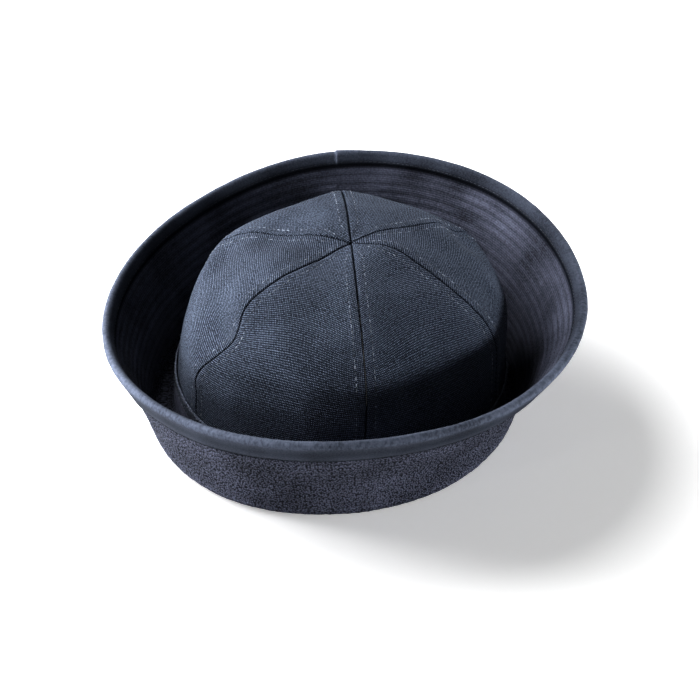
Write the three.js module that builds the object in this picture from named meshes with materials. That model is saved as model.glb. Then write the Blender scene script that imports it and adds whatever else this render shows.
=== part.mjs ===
// A sailor cap in quilted denim: a soft crown of six gores, and a brim that is turned up all round.
// Millimetres, +Z up. The wearer's forehead is towards -Y, and the back seam is towards +Y.
// The origin lies on the surface that the cap rests on, under the middle of the box that it fills.

import * as THREE from "three";

// ---------------------------------------------------------------- driving dimensions

const DENIM_COLOR = 0x47515d;
const DENIM_ROUGHNESS = 0.92;

const GAP = 0.3; // between neighbouring pieces

// Crown
const FIRST_SEAM_ANGLE = -90; // the seam over the forehead
const CROWN_CLOTH = 1.5;
const ALLOWANCE_WIDTH = 6.5; // seam allowance pressed open on each side of a seam
const ALLOWANCE_RISE = 0.5;
const ALLOWANCE_FADE = 1.8; // width over which the allowance falls to the plain cloth
const BELLY_SHARPNESS = 1.4; // 1 for flat-sided gores with sharp corners, 2 for soft ones
const CROWN_TIP_RADIUS = 1.2; // where the six points of the gores meet
const JOIN_HEIGHT = 25; // the foot of the crown, where the brim is sewn on
const CROWN_CENTRE = { x: -1.6, y: -0.5 };

// Brim: one quilted band, sewn to the foot of the crown, folded at the surface and turned up
const PLY = 1.1;
const PLY_GAP = 0.25;
const BRIM_HALF = PLY + PLY_GAP / 2; // half the thickness of the two plies together
const STAND_OUTER_RADIUS = 95.6;
const STAND_LEAN = { x: -2.6, y: -0.3 }; // from the join down to the surface
const FOLD_HEIGHT = 7.5; // the turned-up part starts here
const FOLD_ROUND = 0.36; // round corner of the fold, as a share of its width
const CUFF_START_LEAN = 14; // degrees from upright, just above the fold
const CUFF_HANDLE = 0.36; // how far each lean carries along the cuff, as a share of its height

// Binding: a strip folded over the rim, its end lapped over its start at the back
const BINDING_CLOTH = 1.0;
const BINDING_OUTSIDE = 17; // down the outside of the rim
const BINDING_INSIDE = 6.5; // down the inside, facing the crown
const LAP_ANGLE = 88;
const LAP_SPREAD = 8; // degrees over which the lapped end sinks to the plain strip
const LAP_RISE = 0.9;

// Tape that covers the join between crown and brim
const TAPE_CLOTH = 1.0;
const TAPE_BELOW = 3.5;
const TAPE_ABOVE = 3.5;

// Fineness of the faceting
const AROUND = 56;
const CROWN_ROWS = 10;
const GORE_FIELDS = 6; // between the two allowances
const CUFF_ROWS = 5;
const FOLD_ARC_STEPS = 2;
const BINDING_ARC_STEPS = 3;

// The crown from its foot to its tip. A row is one level: its height and its radius at the seams,
// how much flatter the middles of the gores are (a share of the radius), and how far it leans.
const CROWN_LEVELS = [
  { height: 25.0, radius: 95.3, flatness: 0.0, leanX: 0.0, leanY: 0.0 },
  { height: 42.0, radius: 94.8, flatness: 0.01, leanX: 0.8, leanY: 0.3 },
  { height: 58.0, radius: 93.5, flatness: 0.02, leanX: 2.4, leanY: 0.8 },
  { height: 73.0, radius: 90.0, flatness: 0.04, leanX: 4.4, leanY: 1.5 },
  { height: 87.0, radius: 82.5, flatness: 0.06, leanX: 5.2, leanY: 2.3 },
  { height: 98.5, radius: 68.0, flatness: 0.08, leanX: 5.6, leanY: 2.2 },
  { height: 106.5, radius: 47.0, flatness: 0.07, leanX: 5.9, leanY: 2.2 },
  { height: 110.3, radius: 24.0, flatness: 0.03, leanX: 6.0, leanY: 2.1 },
  { height: 110.0, radius: CROWN_TIP_RADIUS, flatness: 0.0, leanX: 6.0, leanY: 2.0 },
];

// How far each seam strays round the crown from its even place, in degrees: a row for each of those
// levels, and a column for each seam, in the order in which they stand round the cap.
const SEAM_STRAY = [
  { front: 3.2, leftFront: 1.0, leftBack: 0.0, back: 0.0, rightBack: 0.0, rightFront: -3.4 },
  { front: 3.2, leftFront: 1.0, leftBack: 0.0, back: 0.0, rightBack: 0.0, rightFront: -3.0 },
  { front: 2.8, leftFront: 0.6, leftBack: 0.0, back: 0.0, rightBack: 0.0, rightFront: -2.4 },
  { front: 2.0, leftFront: -1.0, leftBack: 0.0, back: 0.0, rightBack: 0.0, rightFront: 2.4 },
  { front: 1.3, leftFront: -2.5, leftBack: 0.0, back: 0.0, rightBack: 0.0, rightFront: 5.4 },
  { front: 0.8, leftFront: -3.5, leftBack: 0.0, back: 0.0, rightBack: 0.0, rightFront: 2.0 },
  { front: 0.2, leftFront: -1.5, leftBack: -4.5, back: 0.0, rightBack: 0.0, rightFront: 2.2 },
  { front: 0.0, leftFront: 2.0, leftBack: -7.0, back: 0.0, rightBack: 0.0, rightFront: 3.0 },
  { front: 0.0, leftFront: 0.0, leftBack: 0.0, back: 0.0, rightBack: 0.0, rightFront: 0.0 },
];
const SEAMS = Object.keys(SEAM_STRAY[0]);

// Dents (depth above 0) and bulges (below 0) of the crown. angle, out and height are the middle of each
// one: round the crown, out from its middle, and up. It fades over reachAround and reachDown.
const CROWN_DENTS = [
  { angle: 208, out: 84, height: 82, depth: 5.0, reachAround: 22, reachDown: 11 },
  { angle: 212, out: 93, height: 56, depth: -3.0, reachAround: 30, reachDown: 13 },
  { angle: 210, out: 22, height: 109, depth: 2.5, reachAround: 16, reachDown: 16 },
  { angle: 330, out: 22, height: 109, depth: -3.5, reachAround: 18, reachDown: 16 },
  { angle: 152, out: 45, height: 107, depth: 6.0, reachAround: 18, reachDown: 20 },
  { angle: 164, out: 76, height: 94, depth: 4.0, reachAround: 20, reachDown: 12 },
  { angle: 24, out: 75, height: 95, depth: 6.5, reachAround: 18, reachDown: 12 },
  { angle: -8, out: 92, height: 74, depth: -2.5, reachAround: 30, reachDown: 14 },
];

// The turned-up brim, going round from the wearer's left ear (+X) by the back (+Y): the rim's and the
// fold's distance from the middle, the rim's height, and how far the rim leans out from upright.
const BRIM_SECTIONS = [
  { angle: 0, foldRadius: 103.0, rimRadius: 137, rimHeight: 78.0, rimLean: 34 },
  { angle: 45, foldRadius: 103.0, rimRadius: 137, rimHeight: 85.0, rimLean: 38 },
  { angle: 90, foldRadius: 107.0, rimRadius: 137, rimHeight: 82.5, rimLean: 36 },
  { angle: 135, foldRadius: 113.0, rimRadius: 137, rimHeight: 67.0, rimLean: 34 },
  { angle: 180, foldRadius: 115.5, rimRadius: 137, rimHeight: 60.0, rimLean: 28 },
  { angle: 225, foldRadius: 116.0, rimRadius: 137, rimHeight: 70.5, rimLean: 25 },
  { angle: 270, foldRadius: 105.5, rimRadius: 137, rimHeight: 80.0, rimLean: 27 },
  { angle: 315, foldRadius: 101.5, rimRadius: 137, rimHeight: 78.0, rimLean: 30 },
];

// ---------------------------------------------------------------- helpers

const radians = THREE.MathUtils.degToRad;

// Catmull-Rom through four neighbouring values.
function blendFour(before, start, end, after, t) {
  const slopeStart = (end - before) / 2;
  const slopeEnd = (after - start) / 2;
  const t2 = t * t;
  const t3 = t2 * t;
  return (
    (2 * t3 - 3 * t2 + 1) * start +
    (t3 - 2 * t2 + t) * slopeStart +
    (3 * t2 - 2 * t3) * end +
    (t3 - t2) * slopeEnd
  );
}

// A column of a table whose rows go once round the cap in equal steps, at any angle.
function columnAround(table, column, angle) {
  const count = table.length;
  const place = (THREE.MathUtils.euclideanModulo(angle, 360) / 360) * count;
  const row = Math.floor(place);
  const value = (offset) => table[(row + offset + count) % count][column];
  return blendFour(value(-1), value(0), value(1), value(2), place - row);
}

// A column of a table whose rows follow one another, at a place from 0 (first row) to 1 (last row).
function columnAlong(table, column, share) {
  const last = table.length - 1;
  const place = THREE.MathUtils.clamp(share, 0, 1) * last;
  const row = Math.min(Math.floor(place), last - 1);
  const value = (index) => table[THREE.MathUtils.clamp(index, 0, last)][column];
  return blendFour(value(row - 1), value(row), value(row + 1), value(row + 2), place - row);
}

// The smallest turn from one angle to another, in degrees.
function turnBetween(from, to) {
  return THREE.MathUtils.euclideanModulo(to - from + 180, 360) - 180;
}

// A point on a meridian: r out from the given centre, z up.
function onMeridian(angle, r, z, centre = { x: 0, y: 0 }) {
  const a = radians(angle);
  return new THREE.Vector3(centre.x + r * Math.cos(a), centre.y + r * Math.sin(a), z);
}

// A wall between two grids of points with the same rows and columns. wrapsRound closes the last column
// on the first; otherwise both end columns get an edge of their own.
function wallSolid(outer, inner, wrapsRound) {
  const columns = outer.length;
  const rows = outer[0].length;
  const positions = [...outer.flat(), ...inner.flat()].flatMap((p) => [p.x, p.y, p.z]);
  const outerAt = (column, row) => (column % columns) * rows + row;
  const innerAt = (column, row) => columns * rows + outerAt(column, row);
  const faces = [];
  const quad = (a, b, c, d) => faces.push(a, b, c, a, c, d);
  const spans = wrapsRound ? columns : columns - 1;
  for (let i = 0; i < spans; i++) {
    for (let j = 0; j < rows - 1; j++) {
      quad(outerAt(i, j), outerAt(i + 1, j), outerAt(i + 1, j + 1), outerAt(i, j + 1));
      quad(innerAt(i, j), innerAt(i, j + 1), innerAt(i + 1, j + 1), innerAt(i + 1, j));
    }
    quad(innerAt(i, 0), innerAt(i + 1, 0), outerAt(i + 1, 0), outerAt(i, 0));
    quad(outerAt(i, rows - 1), outerAt(i + 1, rows - 1), innerAt(i + 1, rows - 1), innerAt(i, rows - 1));
  }
  if (!wrapsRound) {
    for (let j = 0; j < rows - 1; j++) {
      quad(outerAt(0, j), outerAt(0, j + 1), innerAt(0, j + 1), innerAt(0, j));
      quad(
        innerAt(spans, j),
        innerAt(spans, j + 1),
        outerAt(spans, j + 1),
        outerAt(spans, j),
      );
    }
  }
  const geometry = new THREE.BufferGeometry();
  geometry.setAttribute("position", new THREE.Float32BufferAttribute(positions, 3));
  geometry.setIndex(faces);
  geometry.computeVertexNormals();
  return geometry;
}

// ---------------------------------------------------------------- crown

// How far the crown is pushed in at a place, from the table of dents.
function dentDepth(angle, radius, height) {
  return CROWN_DENTS.reduce((sum, dent) => {
    const arc = radians(turnBetween(dent.angle, angle)) * ((radius + dent.out) / 2);
    const around = arc / dent.reachAround;
    const down = Math.hypot(radius - dent.out, height - dent.height) / dent.reachDown;
    return sum + dent.depth * Math.exp(-around * around - down * down);
  }, 0);
}

// Where a seam stands round the crown: seams are counted on from the one over the forehead.
function seamAngle(seam, share) {
  const even = FIRST_SEAM_ANGLE + (360 * seam) / SEAMS.length;
  return even + columnAlong(SEAM_STRAY, SEAMS[seam % SEAMS.length], share);
}

// The cloth of one gore: across goes from 0 to 1 between its seams, share from 0 at the foot to 1 at
// the tip, and rise lifts the point off the cloth's face.
function gorePoint(gore, across, share, rise) {
  const level = (column, at = share) => columnAlong(CROWN_LEVELS, column, at);
  const step = 0.01;
  const alongR = level("radius", share + step) - level("radius", share - step);
  const alongZ = level("height", share + step) - level("height", share - step);
  const length = Math.hypot(alongR, alongZ);
  const angle = THREE.MathUtils.lerp(seamAngle(gore, share), seamAngle(gore + 1, share), across);
  const belly = Math.sin(Math.PI * across) ** BELLY_SHARPNESS;
  const radius = level("radius") * (1 - level("flatness") * belly);
  const out = rise - dentDepth(angle, radius, level("height"));
  return onMeridian(
    angle,
    radius + (out * alongZ) / length,
    level("height") - (out * alongR) / length,
    { x: CROWN_CENTRE.x + level("leanX"), y: CROWN_CENTRE.y + level("leanY") },
  );
}

// The columns of a gore's faceting: how far each is from the first seam, and where the cloth is raised.
function goreColumns(width) {
  const allowance = Math.min(ALLOWANCE_WIDTH, width * 0.28);
  const fade = Math.min(ALLOWANCE_FADE, width * 0.08);
  const field = width - 2 * (allowance + fade);
  const columns = [{ at: GAP / 2, raised: 1 }, { at: allowance, raised: 1 }];
  for (let i = 0; i <= GORE_FIELDS; i++) {
    columns.push({ at: allowance + fade + (field * i) / GORE_FIELDS, raised: 0 });
  }
  columns.push({ at: width - allowance, raised: 1 }, { at: width - GAP / 2, raised: 1 });
  return columns;
}

function goreGeometry(gore) {
  const outer = [];
  const inner = [];
  for (let row = 0; row <= CROWN_ROWS; row++) {
    const share = row / CROWN_ROWS;
    const span = seamAngle(gore + 1, share) - seamAngle(gore, share);
    const width = columnAlong(CROWN_LEVELS, "radius", share) * radians(span);
    // At the foot the allowances lie under the tape, so they don't stand proud there.
    const rise = row === 0 ? 0 : ALLOWANCE_RISE;
    goreColumns(width).forEach(({ at, raised }, i) => {
      outer[i] = [...(outer[i] ?? []), gorePoint(gore, at / width, share, raised * rise)];
      inner[i] = [...(inner[i] ?? []), gorePoint(gore, at / width, share, -CROWN_CLOTH)];
    });
  }
  return wallSolid(outer, inner, false);
}

// ---------------------------------------------------------------- brim

// The middle of the brim's thickness, on one meridian, as a curve from the fold to the rim.
function cuffCurve(angle) {
  const section = (column) => columnAround(BRIM_SECTIONS, column, angle);
  const foot = new THREE.Vector2(section("foldRadius") - BRIM_HALF, FOLD_HEIGHT);
  const rim = new THREE.Vector2(section("rimRadius") - BRIM_HALF, section("rimHeight") - BRIM_HALF);
  const reach = CUFF_HANDLE * foot.distanceTo(rim);
  const lean = (degrees) => new THREE.Vector2(Math.sin(radians(degrees)), Math.cos(radians(degrees)));
  return new THREE.CubicBezierCurve(
    foot,
    foot.clone().addScaledVector(lean(CUFF_START_LEAN), reach),
    rim.clone().addScaledVector(lean(section("rimLean")), -reach),
    rim,
  );
}

// A point of the turned-up brim: share 0 is the fold and 1 the rim; out is the distance off the
// middle of its thickness, away from the crown, and past is the distance beyond it, up the slope.
function cuffPoint(angle, share, out, past = 0) {
  const curve = cuffCurve(angle);
  const point = curve.getPointAt(share);
  const slope = curve.getTangentAt(share);
  return onMeridian(
    angle,
    point.x + slope.y * out + slope.x * past,
    point.y - slope.x * out + slope.y * past,
  );
}

// A ply's foot is level, a gap above the end of the fold, so its faces start at different distances
// along the leaning slope.
function plyGeometry(faceOut, backOut) {
  const outer = [];
  const inner = [];
  const turn = radians(CUFF_START_LEAN);
  const footPast = (out) => (GAP + out * Math.sin(turn)) / Math.cos(turn);
  for (let i = 0; i < AROUND; i++) {
    const angle = (360 * i) / AROUND;
    const column = (out) =>
      Array.from({ length: CUFF_ROWS + 1 }, (_, row) =>
        cuffPoint(angle, row / CUFF_ROWS, out, row === 0 ? footPast(out) : 0),
      );
    outer.push(column(faceOut));
    inner.push(column(backOut));
  }
  return wallSolid(outer, inner, true);
}

// The distance from the middle of the cap to a circle round the crown's foot, at a height near the
// join: the stand leans away below the join, and the crown stands straight above it.
function joinRadius(angle, height, radius) {
  const below = Math.max(0, JOIN_HEIGHT - height) / (JOIN_HEIGHT - FOLD_HEIGHT);
  const x = CROWN_CENTRE.x + STAND_LEAN.x * below;
  const y = CROWN_CENTRE.y + STAND_LEAN.y * below;
  const along = x * Math.cos(radians(angle)) + y * Math.sin(radians(angle));
  const aside = y * Math.cos(radians(angle)) - x * Math.sin(radians(angle));
  return along + Math.sqrt(radius * radius - aside * aside);
}

// The upright part of the brim, which goes down from the join to just above the surface.
function standGeometry() {
  const outer = [];
  const inner = [];
  for (let i = 0; i < AROUND; i++) {
    const angle = (360 * i) / AROUND;
    const column = (radius) =>
      [FOLD_HEIGHT + GAP, JOIN_HEIGHT - GAP].map((height) =>
        onMeridian(angle, joinRadius(angle, height, radius), height),
      );
    outer.push(column(STAND_OUTER_RADIUS));
    inner.push(column(STAND_OUTER_RADIUS - 2 * BRIM_HALF));
  }
  return wallSolid(outer, inner, true);
}

// The brim's fold, which lies on the surface: from the foot of the stand to the foot of the cuff. out is
// the distance off the middle of the brim's thickness, towards the surface.
function foldColumn(angle, out) {
  const standRadius = joinRadius(angle, FOLD_HEIGHT, STAND_OUTER_RADIUS - BRIM_HALF);
  const cuffRadius = columnAround(BRIM_SECTIONS, "foldRadius", angle) - BRIM_HALF;
  const round = FOLD_ROUND * (cuffRadius - standRadius);
  const drop = FOLD_HEIGHT - BRIM_HALF;
  const corner = (centreRadius, fromTurn) =>
    Array.from({ length: FOLD_ARC_STEPS + 1 }, (_, i) => {
      const turn = radians(fromTurn + (90 * i) / FOLD_ARC_STEPS);
      const r = centreRadius + (round + out) * Math.cos(turn);
      return onMeridian(angle, r, FOLD_HEIGHT + (drop + out) * Math.sin(turn));
    });
  return [...corner(standRadius + round, 180), ...corner(cuffRadius - round, 270)];
}

function foldGeometry() {
  const angles = Array.from({ length: AROUND }, (_, i) => (360 * i) / AROUND);
  return wallSolid(
    angles.map((angle) => foldColumn(angle, BRIM_HALF)),
    angles.map((angle) => foldColumn(angle, -BRIM_HALF)),
    true,
  );
}

// ---------------------------------------------------------------- binding and tape

// How far the lapped end of the binding stands off the strip: a step, then a slow fall.
function lapRise(angle) {
  const before = turnBetween(angle, LAP_ANGLE);
  return before > 0 && before < LAP_SPREAD ? LAP_RISE * (1 - before / LAP_SPREAD) : 0;
}

function bindingGeometry() {
  const angles = Array.from({ length: AROUND }, (_, i) => (360 * i) / AROUND);
  angles.push(LAP_ANGLE - 0.01, LAP_ANGLE + 0.2);
  angles.sort((a, b) => a - b);
  const outer = [];
  const inner = [];
  for (const angle of angles) {
    const length = cuffCurve(angle).getLength();
    const under = BRIM_HALF + GAP;
    const top = under + BINDING_CLOTH;
    const down = (distance) => 1 - distance / length;
    const path = (off) => {
      const turns = Array.from(
        { length: BINDING_ARC_STEPS + 1 },
        (_, i) => (Math.PI * i) / BINDING_ARC_STEPS,
      );
      return [
        cuffPoint(angle, down(BINDING_OUTSIDE), off),
        cuffPoint(angle, down(BINDING_OUTSIDE / 2), off),
        ...turns.map((turn) => cuffPoint(angle, 1, off * Math.cos(turn), off * Math.sin(turn))),
        cuffPoint(angle, down(BINDING_INSIDE), -off),
      ];
    };
    outer.push(path(top + lapRise(angle)));
    inner.push(path(under));
  }
  return wallSolid(outer, inner, true);
}

function tapeGeometry() {
  const outer = [];
  const inner = [];
  for (let i = 0; i < AROUND; i++) {
    const angle = (360 * i) / AROUND;
    const column = (radius) =>
      [JOIN_HEIGHT - TAPE_BELOW, JOIN_HEIGHT, JOIN_HEIGHT + TAPE_ABOVE].map((height) =>
        onMeridian(angle, joinRadius(angle, height, radius), height),
      );
    outer.push(column(STAND_OUTER_RADIUS + GAP + TAPE_CLOTH));
    inner.push(column(STAND_OUTER_RADIUS + GAP));
  }
  return wallSolid(outer, inner, true);
}

// ---------------------------------------------------------------- assembly

function denimMesh(name, geometry) {
  const material = new THREE.MeshStandardMaterial({
    color: DENIM_COLOR,
    roughness: DENIM_ROUGHNESS,
    metalness: 0,
    side: THREE.FrontSide,
  });
  const mesh = new THREE.Mesh(geometry, material);
  mesh.name = name;
  return mesh;
}

const crown = new THREE.Group();
SEAMS.forEach((_, gore) => crown.add(denimMesh(`crown_gore_${gore + 1}`, goreGeometry(gore))));
crown.add(denimMesh("join_tape", tapeGeometry()));

const brim = new THREE.Group();
brim.add(denimMesh("brim_stand", standGeometry()));
brim.add(denimMesh("brim_fold", foldGeometry()));
brim.add(denimMesh("brim_inner_ply", plyGeometry(-PLY_GAP / 2, -BRIM_HALF)));
brim.add(denimMesh("brim_outer_ply", plyGeometry(BRIM_HALF, PLY_GAP / 2)));
brim.add(denimMesh("rim_binding", bindingGeometry()));

const cap = new THREE.Group();
cap.add(crown, brim);
const middle = new THREE.Box3().setFromObject(cap, true).getCenter(new THREE.Vector3());
cap.position.set(-middle.x, -middle.y, 0);

export default cap;
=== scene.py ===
"""A sailor cap in quilted denim, its brim turned up all round, dressed in cloth and lit in a plain studio.

Sizes in the tables and fields are millimetres in the cap's own frame: +Z up, the forehead towards -Y and
the back seam towards +Y. The meshes are made in metres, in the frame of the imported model.
"""

import itertools
import logging
from dataclasses import dataclass
from enum import Enum
from typing import Any

import bpy
import numpy as np
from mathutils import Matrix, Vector


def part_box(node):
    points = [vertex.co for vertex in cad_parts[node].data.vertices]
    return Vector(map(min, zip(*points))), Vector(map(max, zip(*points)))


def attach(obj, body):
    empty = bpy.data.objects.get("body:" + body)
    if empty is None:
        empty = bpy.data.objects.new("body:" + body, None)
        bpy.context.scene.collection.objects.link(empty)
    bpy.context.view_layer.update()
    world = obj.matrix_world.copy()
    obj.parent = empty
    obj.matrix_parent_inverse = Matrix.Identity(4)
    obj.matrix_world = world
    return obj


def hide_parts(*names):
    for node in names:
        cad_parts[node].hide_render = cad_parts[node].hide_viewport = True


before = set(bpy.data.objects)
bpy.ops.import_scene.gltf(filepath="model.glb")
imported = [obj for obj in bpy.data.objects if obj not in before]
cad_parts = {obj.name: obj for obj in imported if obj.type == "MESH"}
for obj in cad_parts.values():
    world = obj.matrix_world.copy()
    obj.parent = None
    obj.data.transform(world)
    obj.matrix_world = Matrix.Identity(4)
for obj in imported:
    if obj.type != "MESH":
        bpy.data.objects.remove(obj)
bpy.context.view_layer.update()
BODY = "root"
MM = 0.001
CLOTH_MAP = "Cloth"
# The first attribute makes cloth paler, for rubbed cloth and painted highlights; the second lays painted
# shade.
WEAR_AND_HIGHLIGHT = "wear_and_highlight"
PAINTED_SHADE = "painted_shade"

log = logging.getLogger("sailor_cap")


# ------------------------------------------------------------------------------------------------ tables


@dataclass(frozen=True)
class CrownLevel:
    """One level of the crown, from its foot to its tip."""

    height: float
    radius: float
    flatness: float
    lean_x: float
    lean_y: float


@dataclass(frozen=True)
class Dent:
    """A dent (depth above 0) or bulge (below 0) of the crown, round a middle on its surface."""

    angle: float
    out: float
    height: float
    depth: float
    reach_around: float
    reach_down: float


@dataclass(frozen=True)
class BrimSection:
    """The turned-up brim at one angle round the cap."""

    fold_radius: float
    rim_radius: float
    rim_height: float
    rim_lean: float


CROWN_LEVELS = (
    CrownLevel(25.0, 95.3, 0.0, 0.0, 0.0),
    CrownLevel(42.0, 94.8, 0.01, 0.8, 0.3),
    CrownLevel(58.0, 93.5, 0.02, 2.4, 0.8),
    CrownLevel(73.0, 90.0, 0.04, 4.4, 1.5),
    CrownLevel(87.0, 82.5, 0.06, 5.2, 2.3),
    CrownLevel(98.5, 68.0, 0.08, 5.6, 2.2),
    CrownLevel(106.5, 47.0, 0.07, 5.9, 2.2),
    CrownLevel(110.3, 24.0, 0.03, 6.0, 2.1),
    CrownLevel(110.0, 0.25, 0.0, 6.0, 2.0),
)

# How far each seam strays round the crown from its even place, in degrees: a value for each of those
# levels, and a row for each seam in the order in which they stand round the cap.
SEAM_STRAY = {
    "front": (3.2, 3.2, 2.8, 2.0, 1.3, 0.8, 0.2, 0.0, 0.0),
    "left_front": (1.0, 1.0, 0.6, -1.0, -2.5, -3.5, -1.5, 2.0, 0.0),
    "left_back": (0.0, 0.0, 0.0, 0.0, 0.0, 0.0, -4.5, -7.0, 0.0),
    "back": (0.0, 0.0, 0.0, 0.0, 0.0, 0.0, 0.0, 0.0, 0.0),
    "right_back": (0.0, 0.0, 0.0, 0.0, 0.0, 0.0, 0.0, 0.0, 0.0),
    "right_front": (-3.4, -3.0, -2.4, 2.4, 5.4, 2.0, 2.2, 3.0, 0.0),
}

DENTS = (
    Dent(208, 84, 82, 5.0, 22, 11),
    Dent(212, 93, 56, -3.0, 30, 13),
    Dent(210, 22, 109, 2.5, 16, 16),
    Dent(330, 22, 109, -3.5, 18, 16),
    Dent(152, 45, 107, 6.0, 18, 20),
    Dent(164, 76, 94, 4.0, 20, 12),
    Dent(24, 75, 95, 6.5, 18, 12),
    Dent(-8, 92, 74, -2.5, 30, 14),
)

# The brim going round from the wearer's left ear (+X) by the back (+Y), in equal steps.
BRIM_SECTIONS = (
    BrimSection(103.0, 137, 78.0, 34),
    BrimSection(103.0, 137, 85.0, 38),
    BrimSection(107.0, 137, 82.5, 36),
    BrimSection(113.0, 137, 67.0, 34),
    BrimSection(115.5, 137, 60.0, 28),
    BrimSection(116.0, 137, 70.5, 25),
    BrimSection(105.5, 137, 80.0, 27),
    BrimSection(101.5, 137, 78.0, 30),
)


# --------------------------------------------------------------------------------------- numbers and points


def blend_four(before: Any, start: Any, end: Any, after: Any, t: Any) -> Any:
    """Pass a smooth curve through four neighbouring values.

    Args:
        before: The value before the stretch.
        start: The value at its start.
        end: The value at its end.
        after: The value after it.
        t: The place in the stretch, from 0 to 1.

    Returns:
        The value at that place.
    """
    t2 = t * t
    t3 = t2 * t
    slopes = (t3 - 2 * t2 + t) * (end - before) / 2 + (t3 - t2) * (after - start) / 2
    return (2 * t3 - 3 * t2 + 1) * start + (3 * t2 - 2 * t3) * end + slopes


def around(name: str, angle: np.ndarray) -> np.ndarray:
    """Read a column of the brim's table at any angle.

    Args:
        name: The column.
        angle: Angles round the cap, in degrees.

    Returns:
        The column's value at each angle.
    """
    values = np.array([getattr(section, name) for section in BRIM_SECTIONS], float)
    place = np.mod(angle, 360) / 360 * len(values)
    row = np.floor(place).astype(int)
    near = [values[(row + step) % len(values)] for step in (-1, 0, 1, 2)]
    return blend_four(*near, place - row)


def along(values: Any, share: np.ndarray) -> np.ndarray:
    """Read a column whose rows follow one another.

    Args:
        values: The column.
        share: Places from 0, the first row, to 1, the last.

    Returns:
        The column's value at each place.
    """
    values = np.array(values, float)
    last = len(values) - 1
    place = np.clip(share, 0, 1) * last
    row = np.minimum(np.floor(place).astype(int), last - 1)
    near = [values[np.clip(row + step, 0, last)] for step in (-1, 0, 1, 2)]
    return blend_four(*near, place - row)


def level(name: str, share: np.ndarray) -> np.ndarray:
    """Read a column of the crown's levels at places from its foot, 0, to its tip, 1."""
    return along([getattr(row, name) for row in CROWN_LEVELS], share)


def noise(points: np.ndarray, cell: Any, seed: int) -> np.ndarray:
    """Make smooth random values that change over about one cell.

    Args:
        points: Points with two or three numbers each, in the last axis.
        cell: The size of a cell, the same both ways or one size for each number.
        seed: Picks the pattern.

    Returns:
        A value from -1 to 1 for each point.
    """
    scaled = points / np.array(cell, float)
    base = np.floor(scaled).astype(np.int64)
    part = scaled - base
    part = part * part * (3 - 2 * part)
    total = np.zeros(points.shape[:-1])
    for corner in itertools.product((0, 1), repeat=points.shape[-1]):
        mixed = np.full(total.shape, seed * 7919 + 17, np.int64)
        for axis, prime in zip(range(points.shape[-1]), (73856093, 19349663, 83492791)):
            mixed = (mixed ^ ((base[..., axis] + corner[axis]) * prime)) * 1274126177
            mixed = (mixed ^ (mixed >> 15)) & 0x7FFFFFFF
        weight = np.prod(np.where(np.array(corner) == 1, part, 1 - part), axis=-1)
        total += ((mixed & 0xFFFF) / 32767.5 - 1) * weight
    return total


def bump(distance: np.ndarray, width: float) -> np.ndarray:
    """A rounded bump that is 1 at distance 0 and fades over the width."""
    return np.exp(-((distance / width) ** 2))


def step_down(distance: np.ndarray, edge: Any, fade: float) -> np.ndarray:
    """A smooth step from 1 before the edge to 0 past it."""
    return 1 / (1 + np.exp(np.clip((distance - edge) / fade, -40, 40)))


def cubic(corners: list[np.ndarray], t: np.ndarray) -> np.ndarray:
    """Points of the curve with four control points, at places from 0 to 1 along it."""
    a, b, c, d = corners
    return a * (1 - t) ** 3 + 3 * b * (1 - t) ** 2 * t + 3 * c * (1 - t) * t**2 + d * t**3


def polar(angle: np.ndarray, radius: np.ndarray, height: np.ndarray) -> np.ndarray:
    """Points at an angle round the cap's axis, a distance out and a height up."""
    turn = np.radians(angle)
    return np.stack(np.broadcast_arrays(radius * np.cos(turn), radius * np.sin(turn), height), -1)


# ------------------------------------------------------------------------------------------------- meshes


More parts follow.
